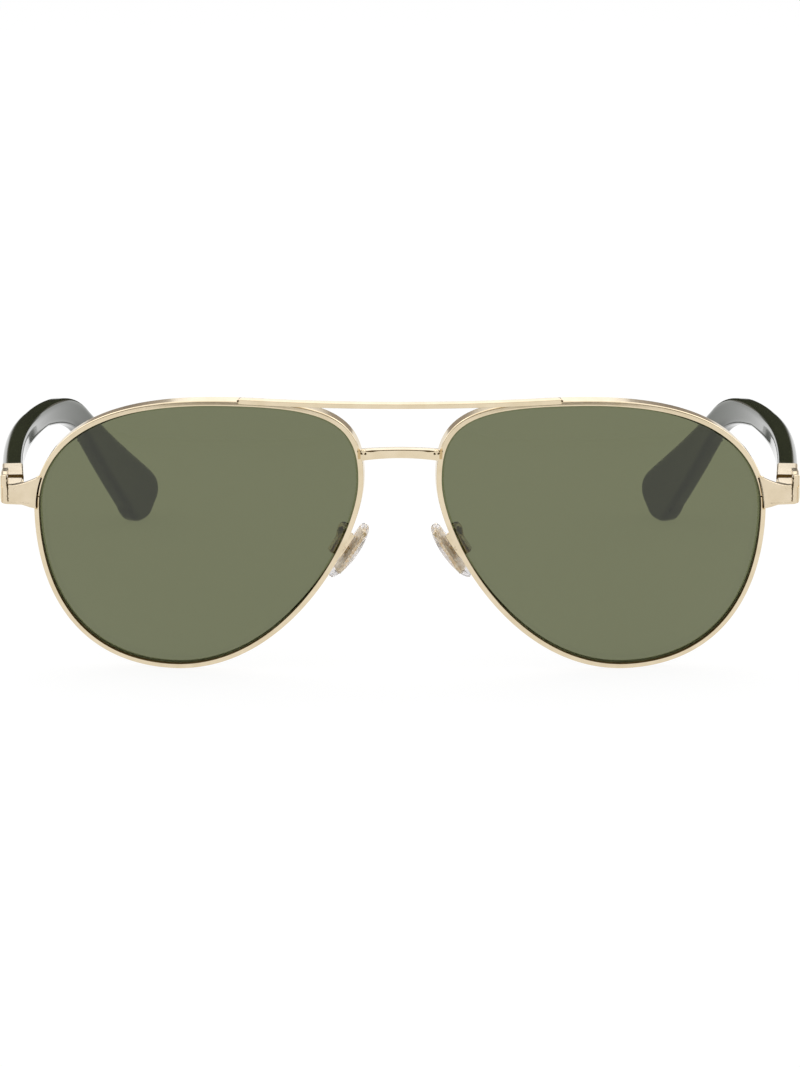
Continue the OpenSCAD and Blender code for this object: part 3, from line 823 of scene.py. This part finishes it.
def endpiece():
    """The plate at the front's outer end, which follows the rim on its inner side."""
    rim_edge = wire_edge()
    x_base, x_out = 63.6, BLOCK_OUT + 0.24      # inner edge, before it follows the rim; outer
    nx, nz = 120, 70
    shape = Mesh()
    rows, rear, inks = [], [], []
    for i in range(nx + 1):
        f = i / nx
        x0 = x_base + (x_out - x_base) * f
        lo, hi = interpolate(END_LOWER, x0), interpolate(END_UPPER, x0)
        row, ink, back = [], [], []
        for j in range(nz + 1):
            t = 0.5 - 0.5 * math.cos(math.pi * j / nz)
            z = lo + (hi - lo) * t
            x = x0 + (interpolate(rim_edge, z) - x_base) * (1 - f) ** 2
            d, mat = relief(x, z, min(z - lo, hi - z))
            y = interpolate(END_PLAN, x)
            row.append(world_at((x, y + d, z)))
            ink.append(mat)
            if j in (0, nz):
                back.append(world_at((x, max(interpolate(END_BACK, x), y + 0.3), z)))
        rows.append(shape.add(row))
        rear.append(shape.add(back))
        inks.append(ink)
    for i in range(nx):
        a, b = rows[i], rows[i + 1]
        for j in range(nz):
            shape.face([a[j], a[j + 1], b[j + 1], b[j]], inks[i][j])
        shape.face([a[0], b[0], rear[i + 1][0], rear[i][0]])
        shape.face([a[-1], b[-1], rear[i + 1][1], rear[i][1]])
        shape.face([rear[i][0], rear[i][1], rear[i + 1][1], rear[i + 1][0]])
    shape.face(rows[0] + rear[0][::-1])
    shape.face(rows[-1] + rear[-1][::-1])
    shape.join(ball((63.85, 6.75, 34.75), 0.3).moved(world_at))     # solder bead
    return shape


def end_return():
    """The block that runs back to the hinge, and its raised outer cheek."""
    shape = Mesh()
    out = BLOCK_OUT + 0.15
    profile = fillet([(BLOCK_X, BLOCK_Z[0], 0.15), (out, BLOCK_Z[0], 0.5),
                      (out, BLOCK_Z[1], 0.1), (BLOCK_X, BLOCK_Z[1], 0.15)], 4)
    # (y, how much smaller all round, how much the top is raised)
    stations = [(8.5, 0.0, -0.5), (9.3, 0.0, -0.12), (9.9, 0.0, 0), (BLOCK_END - 0.12, 0, 0.34),
                (BLOCK_END - 0.03, 0.05, 0.34), (BLOCK_END, 0.12, 0.34)]
    cx, cz = (BLOCK_X + BLOCK_OUT) / 2, sum(BLOCK_Z) / 2
    rings = []
    for y, inset, top in stations:
        ring = []
        for x, z in profile:
            x += math.copysign(inset, cx - x)
            z += math.copysign(inset, cz - z) + (top if z > cz else 0)
            ring.append(world_at((x, y, z)))
        rings.append(ring)
    shape.skin(rings)
    rings = []
    for x, inset in ((69.46, 0.14), (69.52, 0.04), (69.6, 0), (69.9, 0), (70.15, 0),
                     (70.35, 0.02), (70.52, 0.08), (70.62, 0.18), (70.66, 0.3)):
        y0 = interpolate(END_PLAN, min(x, BLOCK_OUT - 0.01)) + 0.02 + inset
        z0, z1 = BLOCK_Z[0] + 0.25 + inset, CHEEK_Z - inset
        cheek = fillet([(y0, z0, 0.4), (BLOCK_END - inset, z0, 0.2),
                        (BLOCK_END - inset, z1, 0.25), (y0 + 1.7, z1 - 0.05, 0.6),
                        (y0 + 0.25, 34.6 - inset, 0.5), (y0 + 0.1, 33.2 - inset, 0.5)], 5)
        rings.append([world_at((x, p.x, p.y)) for p in cheek])
    shape.skin(rings)
    return shape


both("endpiece_plate", endpiece, [GOLD_SOFT, SEAM], "front", "gold_metal", ["{side}_endpiece"])
both("endpiece_return", end_return, [GOLD_SOFT], "front", "gold_metal", [])


# ---- nose pads ---------------------------------------------------------------------------
def pad_oval(inset, scale=1.0):
    """The pad's outline (y, z), drawn in by inset and then scaled."""
    n, power = 96, 0.85           # under 1: squarer than an ellipse
    out = []
    for a in turns(n):
        c, s = math.cos(a), math.sin(a)
        out.append(scale * Vector(((PAD_W / 2 - inset) * math.copysign(abs(c) ** power, c),
                                   (PAD_L / 2 - inset) * math.copysign(abs(s) ** power, s))))
    return out


def dome(y, z):
    """The pad's bulging skin side."""
    cx = PAD_BACK - PAD_T + DOME_R
    return cx - math.sqrt(DOME_R ** 2 - y * y - (z - DOME_UP) ** 2)


def nose_pad():
    w, l, r, back_r = PAD_W / 2, PAD_L / 2, 0.32, 0.18
    rings = []
    for k in (0.15, 0.3, 0.45, 0.6, 0.72, 0.82):
        rings.append([(dome(p.x, p.y), p.x, p.y) for p in pad_oval(r, k)])
    for i in range(7):                    # rounded edge of the skin side
        a = math.pi / 2 * i / 6
        lift = r * (1 - math.cos(a))
        ring = []
        for p in pad_oval(r * (1 - math.sin(a))):
            top = dome(p.x * (w - r) / w, p.y * (l - r) / l)
            ring.append((min(top + lift, PAD_BACK - 0.02), p.x, p.y))
        rings.append(ring)
    for i in range(1, 6):                 # rounded edge of the back
        a = math.pi / 2 * i / 5
        x = PAD_BACK - back_r * (1 - math.sin(a)) if i < 5 else PAD_BACK
        rings.append([(x, p.x, p.y) for p in pad_oval(back_r * (1 - math.cos(a)))])
    for k in (0.8, 0.5, 0.2):
        rings.append([(PAD_BACK, p.x, p.y) for p in pad_oval(back_r, k)])
    shape = Mesh()
    shape.skin(rings)
    return shape.moved(pad_point)


both("pad_silicone", nose_pad, [SILICONE], "{side}_pad", "clear_silicone",
     ["{side}_nose_pad"], sharp=60)


def border(grid):
    """The points along the edge of a grid, once round."""
    return (grid[0] + [r[-1] for r in grid[1:]] + grid[-1][-2::-1]
            + [r[0] for r in grid[-2:0:-1]])


def hammered_plate():
    """The gold insert seen inside the clear pad, with a dented surface, a patch painted in shade
    for a slot, and a tab behind.
    """
    x0, x1, w, z0, z1 = -0.1, 0.5, 2.4, -4.0, 4.5
    n_l, n_w, depth, cells = 60, 30, 0.05, 1.1            # depth and number per mm of dents
    # a patch painted in shade for a slot; the sheet has no hole there
    slot_y, slot_z = (0.5, 1.1), (0.7, 2.3)
    shape = Mesh()

    def sheet(x, sign):
        rows = []
        for i in range(n_l + 1):
            z = z0 + (z1 - z0) * i / n_l
            row = []
            for j in range(n_w + 1):
                y = -w + 2 * w * j / n_w
                cell = noise.voronoi(Vector((y * cells, z * cells, 3 + sign)))[0][0]
                dent = 0.0 if i in (0, n_l) or j in (0, n_w) else depth * min(cell, 1)
                row.append((x + sign * (dent - depth), y, z))
            rows.append(shape.add(row))
        return rows

    a, b = sheet(x0, -1), sheet(x1, 1)
    for i in range(n_l):
        for j in range(n_w):
            y, z = -w + 2 * w * (j + 0.5) / n_w, z0 + (z1 - z0) * (i + 0.5) / n_l
            slot = slot_z[0] < z < slot_z[1] and slot_y[0] < y < slot_y[1]
            shape.face([a[i][j], a[i][j + 1], a[i + 1][j + 1], a[i + 1][j]], int(slot))
            shape.face([b[i][j], b[i + 1][j], b[i + 1][j + 1], b[i][j + 1]])
    edge_a, edge_b = border(a), border(b)
    for k in range(len(edge_a)):
        n = (k + 1) % len(edge_a)
        shape.face([edge_a[k], edge_a[n], edge_b[n], edge_b[k]])
    tab, tab_r, tab_half, (root, end) = Mesh(), 0.75, 0.6, (0.45, 1.9)
    half_turn = [math.pi * k / 14 for k in range(15)]
    tab.skin([[(root, y, -tab_r)]
              + [(end + tab_r * math.sin(t), y, -tab_r * math.cos(t)) for t in half_turn]
              + [(root, y, tab_r)] for y in (-tab_half, tab_half)])
    return shape.join(tab).moved(pad_point)


both("pad_insert_plate", hammered_plate, [GOLD_HAMMERED, SEAM], "{side}_pad", "gold_metal",
     ["{side}_pad_insert"])


# ---- pad arms: bent wires from the rims to the boxes -------------------------------------
def wire():
    path = chain([(9.2, 2.3, 26), (9.4, 6.5, 26.4), (10.6, 10, 27), (10.9, 8.4, 24)], 40)
    rings = []
    for i, p in enumerate(path):
        d = (path[min(i + 1, len(path) - 1)] - path[max(i - 1, 0)]).normalized()
        u = d.cross(Vector((1, 0, 0))).normalized()
        w = d.cross(u)
        rings.append([world_at(p + WIRE_R * (math.cos(t) * u + math.sin(t) * w))
                      for t in turns(20)])
    shape = Mesh()
    shape.skin(rings)
    return shape


both("pad_arm_wire", wire, [GOLD], "front", "gold_metal", ["{side}_pad_arm"])


# ---- small fittings that keep their CAD shape --------------------------------------------
# name and width of its rounded edges
FITTINGS = {"rim_lock_upper": 0.12, "rim_lock_lower": 0.12, "rim_screw": 0.05,
            "front_hinge": 0.06, "hinge_screw": 0.04, "temple_hinge": 0.06,
            "pad_box": 0.12, "pad_screw": 0.04}


def finish_node(name, material, width=0.0):
    obj = frame["nodes"][name]
    obj.data.materials.clear()
    obj.data.materials.append(material)
    if width:
        weld = obj.modifiers.new("weld", "WELD")
        weld.merge_threshold = 1e-6
        edge = obj.modifiers.new("edge", "BEVEL")
        edge.width, edge.segments = width * MM, 2
        edge.limit_method, edge.angle_limit = "ANGLE", 0.6
        edge.harden_normals = True


for side in ("left", "right"):
    for fitting, edge_width in FITTINGS.items():
        finish_node(f"{side}_{fitting}", GOLD, edge_width)
    finish_node(f"{side}_core_wire", STEEL)


# ---- floor, cloths, light and camera -----------------------------------------------------
# From here on, lengths are metres.
def seen_rays(tree):
    """1 for camera, glossy and transmission rays, else 0."""
    path = tree.nodes.new("ShaderNodeLightPath")
    value = path.outputs["Is Camera Ray"]
    for name in ("Is Glossy Ray", "Is Transmission Ray"):
        m = tree.nodes.new("ShaderNodeMath")
        m.operation = "MAXIMUM"
        tree.links.new(value, m.inputs[0])
        tree.links.new(path.outputs[name], m.inputs[1])
        value = m.outputs[0]
    return value


def floor():
    """A white floor that keeps the part's shadow."""
    size, drop, grey, strength = 3, 0.0001, 0.15, 0.88
    data = bpy.data.meshes.new("floor")
    data.from_pydata([(-size, -size, 0), (size, -size, 0), (size, size, 0), (-size, size, 0)],
                     [], [[0, 1, 2, 3]])
    m = bpy.data.materials.new("pale_floor")
    m.use_nodes = True
    t = m.node_tree
    t.nodes.clear()
    out = t.nodes.new("ShaderNodeOutputMaterial")
    diffuse = t.nodes.new("ShaderNodeBsdfDiffuse")
    diffuse.inputs["Color"].default_value = (grey, grey, grey, 1)
    glow = t.nodes.new("ShaderNodeEmission")
    scale = t.nodes.new("ShaderNodeMath")
    scale.operation = "MULTIPLY"
    scale.inputs[1].default_value = strength
    t.links.new(seen_rays(t), scale.inputs[0])
    t.links.new(scale.outputs[0], glow.inputs["Strength"])
    total = t.nodes.new("ShaderNodeAddShader")
    t.links.new(diffuse.outputs[0], total.inputs[0])
    t.links.new(glow.outputs[0], total.inputs[1])
    t.links.new(total.outputs[0], out.inputs["Surface"])
    data.materials.append(m)
    obj = bpy.data.objects.new("floor", data)
    obj.location.z = -drop
    bpy.context.scene.collection.objects.link(obj)
    obj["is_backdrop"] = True


BLACK, GREY, BROWN = (0.07, 0.068, 0.053), (0.72, 0.65, 0.59), (0.33, 0.28, 0.215)


def ease(value, start, end):
    """0 before start, 1 after end, and smooth between them; also for start above end."""
    t = min(1.0, max(0.0, (value - start) / (end - start)))
    return t * t * (3 - 2 * t)


def surround_at(x, y, z):
    """Colour and strength of the studio's dark cloths at a point of the ring round it.

    A brown band runs all round; behind the part hang two grey cloths and a black one.
    """
    behind, side = float(y > 0), abs(x)
    black = behind * ease(side, 0.36, 0.26) * ease(z, 0.0, 0.03) * ease(z, 0.49, 0.41)
    grey = (behind * ease(side, 0.15, 0.25) * ease(side, 1.0, 0.8)
            * ease(z, 0.17, 0.25) * ease(z, 0.7, 0.58))
    brown = ease(z, 0.17, 0.24) * ease(z, 0.38, 0.31)
    return Vector(BROWN).lerp(GREY, grey).lerp(BLACK, black), max(black, grey, brown)


def dark_surround():
    """Soft dark cloths round the studio, seen only in reflections, that draw the metal's edges."""
    radius, low, top, around, up = 1.3, 0.002, 0.72, 128, 36
    points, cloth = [], []
    for j in range(up + 1):
        for k in range(around):
            w = 2 * math.pi * (k + 0.5) / around
            p = (radius * math.cos(w), radius * math.sin(w), low + (top - low) * j / up)
            points.append(p)
            colour, strength = surround_at(*p)
            cloth += [*colour, strength]
    data = bpy.data.meshes.new("dark_surround")
    data.from_pydata(points, [], [
        [j * around + k, j * around + (k + 1) % around,
         (j + 1) * around + (k + 1) % around, (j + 1) * around + k]
        for j in range(up) for k in range(around)])
    data.color_attributes.new("cloth", "FLOAT_COLOR", "POINT").data.foreach_set("color", cloth)
    m, t, s = new_material("studio_cloth", Roughness=0.9, Specular_IOR_Level=0.0)
    attribute = t.nodes.new("ShaderNodeAttribute")
    attribute.attribute_name = "cloth"
    weave = ramp(t, tex(t, "Noise", 0.01, 2), [(0.3, (0.9, 0.9, 0.9)), (0.7, (1, 1, 1))])
    t.links.new(multiply(t, attribute.outputs["Color"], weave), s.inputs["Base Color"])
    t.links.new(attribute.outputs["Alpha"], s.inputs["Alpha"])
    data.materials.append(m)
    obj = bpy.data.objects.new("dark_surround", data)
    bpy.context.scene.collection.objects.link(obj)
    obj.visible_camera = obj.visible_transmission = obj.visible_shadow = False
    obj.visible_diffuse = False
    obj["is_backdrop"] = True


def world():
    """White to the camera and in reflections, and half as strong as a lamp."""
    w = bpy.data.worlds.new("studio")
    bpy.context.scene.world = w
    w.use_nodes = True
    t = w.node_tree
    t.nodes.clear()
    out = t.nodes.new("ShaderNodeOutputWorld")
    plain = t.nodes.new("ShaderNodeBackground")
    plain.inputs["Color"].default_value = (1, 1, 1, 1)
    strength = t.nodes.new("ShaderNodeMapRange")
    strength.inputs["To Min"].default_value = 0.5
    strength.inputs["To Max"].default_value = 1.0
    t.links.new(seen_rays(t), strength.inputs["Value"])
    t.links.new(strength.outputs[0], plain.inputs["Strength"])
    t.links.new(plain.outputs[0], out.inputs["Surface"])


def lamp(name, place, aim, size, power):
    data = bpy.data.lights.new(name, "AREA")
    data.shape, data.size, data.size_y, data.energy = "RECTANGLE", size[0], size[1], power
    obj = bpy.data.objects.new(name, data)
    obj.location = place
    obj.rotation_euler = (Vector(aim) - Vector(place)).to_track_quat("-Z", "Y").to_euler()
    bpy.context.scene.collection.objects.link(obj)


def camera():
    """The photo's view: from the front, a little above."""
    down, distance, aim = math.radians(12.2), 0.9, Vector((0.0, -DEEP * MM, 0.0261))
    data = bpy.data.cameras.new("camera")
    data.sensor_fit, data.sensor_width, data.lens = "HORIZONTAL", 36, 230.85
    data.clip_start, data.clip_end = 0.01, 20
    obj = bpy.data.objects.new("camera", data)
    look = Vector((0, math.cos(down), -math.sin(down)))
    obj.location = aim - look * distance
    obj.rotation_euler = look.to_track_quat("-Z", "Y").to_euler()
    bpy.context.scene.collection.objects.link(obj)
    bpy.context.scene.camera = obj


floor()
dark_surround()
world()
lamp("softbox_top", (0, 0.1, 0.95), (0, 0, 0), (2.4, 1.8), 7.5)
for side in (-1, 1):
    lamp(f"softbox_side_{side + 1}", (side, 0, 0.55), (0, 0, 0.02), (1.1, 1.1), 2.8)
lamp("softbox_back", (0, 1.15, 0.71), (0, 0, 0.02), (0.4, 0.48), 0.24)
camera()
bpy.context.scene.view_settings.view_transform = "Standard"

plain_box = lambda box: [[float(c) for c in corner] for corner in box]
{"cad": plain_box(cad_bounds), "visual": plain_box(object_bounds())}
